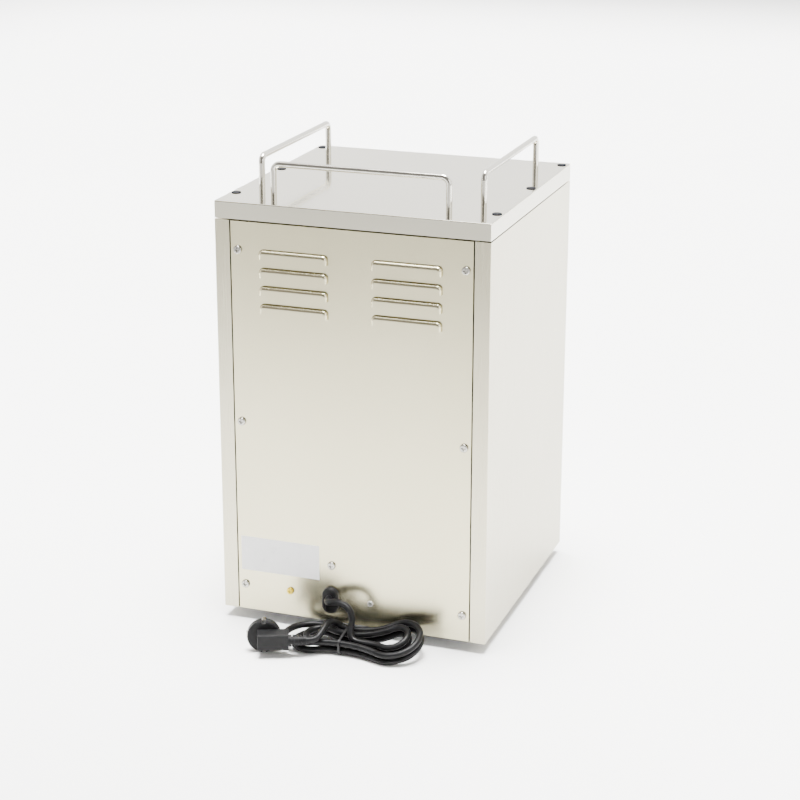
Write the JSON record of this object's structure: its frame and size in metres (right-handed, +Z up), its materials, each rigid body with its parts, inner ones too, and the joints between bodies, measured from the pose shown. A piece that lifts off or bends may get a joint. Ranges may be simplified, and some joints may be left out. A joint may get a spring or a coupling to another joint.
{
  "type": "cup warmer cabinet",
  "caption": "Heated stainless cabinet for warming cups, with louvred rear panel, rails on its lid, a hinged door, wire shelves, and a mains cord tied in a hank",
  "frame": {"origin": "on the table, under the middle of the cabinet's outline with its handle and cord bushing and without the free cord", "axes": "+Z up; -Y towards the door and its handle; +Y towards the rear panel and the cord; +X to the right seen from the door"},
  "size_m": [0.32, 0.452, 0.542],
  "materials": {
    "aluminium_rivet": "bright aluminium",
    "black_cord": "black flexible cord sheath, low sheen",
    "black_plastic": "black plastic, low sheen",
    "black_plug_rubber": "black moulded rubber",
    "black_rubber": "matt black rubber",
    "brass": "bright brass",
    "chromed_wire": "bright chromed wire",
    "copper_bulb": "bare copper",
    "element_sheath": "dark oxidised tube",
    "grey_plastic": "pale grey plastic",
    "knob_plastic": "black plastic, semi-gloss",
    "lamp_lens": "amber lens",
    "liner_steel": "plain stainless sheet",
    "mineral_wool": "yellowish fibre slab",
    "nickel_pins": "nickel plated brass",
    "polished_lid_steel": "smoother, brighter stainless sheet that mirrors the rails",
    "polished_rod": "polished stainless rod",
    "satin_steel": "satin stainless sheet, soft warm sheen with a fine vertical grain",
    "scale_ink": "black printed marks",
    "silver_label": "bare silver-grey film, nothing printed",
    "thermostat_case": "cream plastic and steel case",
    "white_nylon": "off-white plastic",
    "zinc_screw": "zinc plated steel, slightly dull",
    "zinc_sheet": "zinc coated sheet, dull grey"
  },
  "bodies": {
    "cabinet": {"base_plate": "zinc_sheet", "chamber_floor": "liner_steel", "chamber_liner": "liner_steel", "cord_bushing": "black_plastic", "cord_hank": "black_cord", "cord_tie": "black_plastic", "earth_screw": "brass", "element_saddles": "zinc_sheet", "element_tray": "zinc_sheet", "fascia": "satin_steel", "feet": "black_rubber", "foot_screws": "zinc_screw", "front_frame": "satin_steel", "heating_element": "element_sheath", "hole_plugs": "grey_plastic", "indicator_lamp": "lamp_lens", "insulation_rear": "mineral_wool", "insulation_sides": "mineral_wool", "insulation_top": "mineral_wool", "knob_scale": "scale_ink", "left_rail": "polished_rod", "left_side_panel": "satin_steel", "lid": "polished_lid_steel", "lid_screws": "zinc_screw", "lid_spacers": "zinc_screw", "lower_hinge": "zinc_sheet", "lower_shelf": "chromed_wire", "magnet_catch": "black_plastic", "mains_cord": "black_cord", "middle_shelf": "chromed_wire", "panel_rivet": "aluminium_rivet", "plug_body": "black_plug_rubber", "plug_earth_clips": "nickel_pins", "plug_lead": "black_cord", "plug_pins": "nickel_pins", "rail_nuts": "zinc_screw", "rating_label": "silver_label", "rear_panel": "satin_steel", "rear_panel_screws": "zinc_screw", "rear_rail": "polished_rod", "right_rail": "polished_rod", "right_side_panel": "satin_steel", "shelf_runners": "liner_steel", "switch_housing": "black_plastic", "terminal_block": "white_nylon", "thermostat": "thermostat_case", "thermostat_bulb": "copper_bulb", "upper_hinge": "zinc_sheet", "upper_shelf": "chromed_wire"},
    "door": {"door_skin_outer": "satin_steel", "door_bushings": "white_nylon", "door_skin_inner": "liner_steel", "door_insulation": "mineral_wool", "door_gasket": "black_rubber", "door_strike": "zinc_sheet", "door_handle": "polished_rod", "handle_screws": "zinc_screw"},
    "knob": {"thermostat_knob": "knob_plastic", "thermostat_spindle": "zinc_screw"},
    "rocker": {"switch_rocker": "knob_plastic"}
  },
  "joints": [
    {"name": "door_hinge", "type": "hinge", "parent": "cabinet", "child": "door", "pos_m": [-0.1441, -0.137, 0.28665], "axis": [0, 0, -1], "range_deg": [0, 110]},
    {"name": "thermostat_turn", "type": "hinge", "parent": "cabinet", "child": "knob", "pos_m": [0.095, -0.145, 0.054], "axis": [0, 1, 0], "range_deg": [0, 270]},
    {"name": "power_switch", "type": "hinge", "parent": "cabinet", "child": "rocker", "pos_m": [-0.1, -0.14, 0.054], "axis": [-1, 0, 0], "range_deg": [0, 18]}
  ]
}
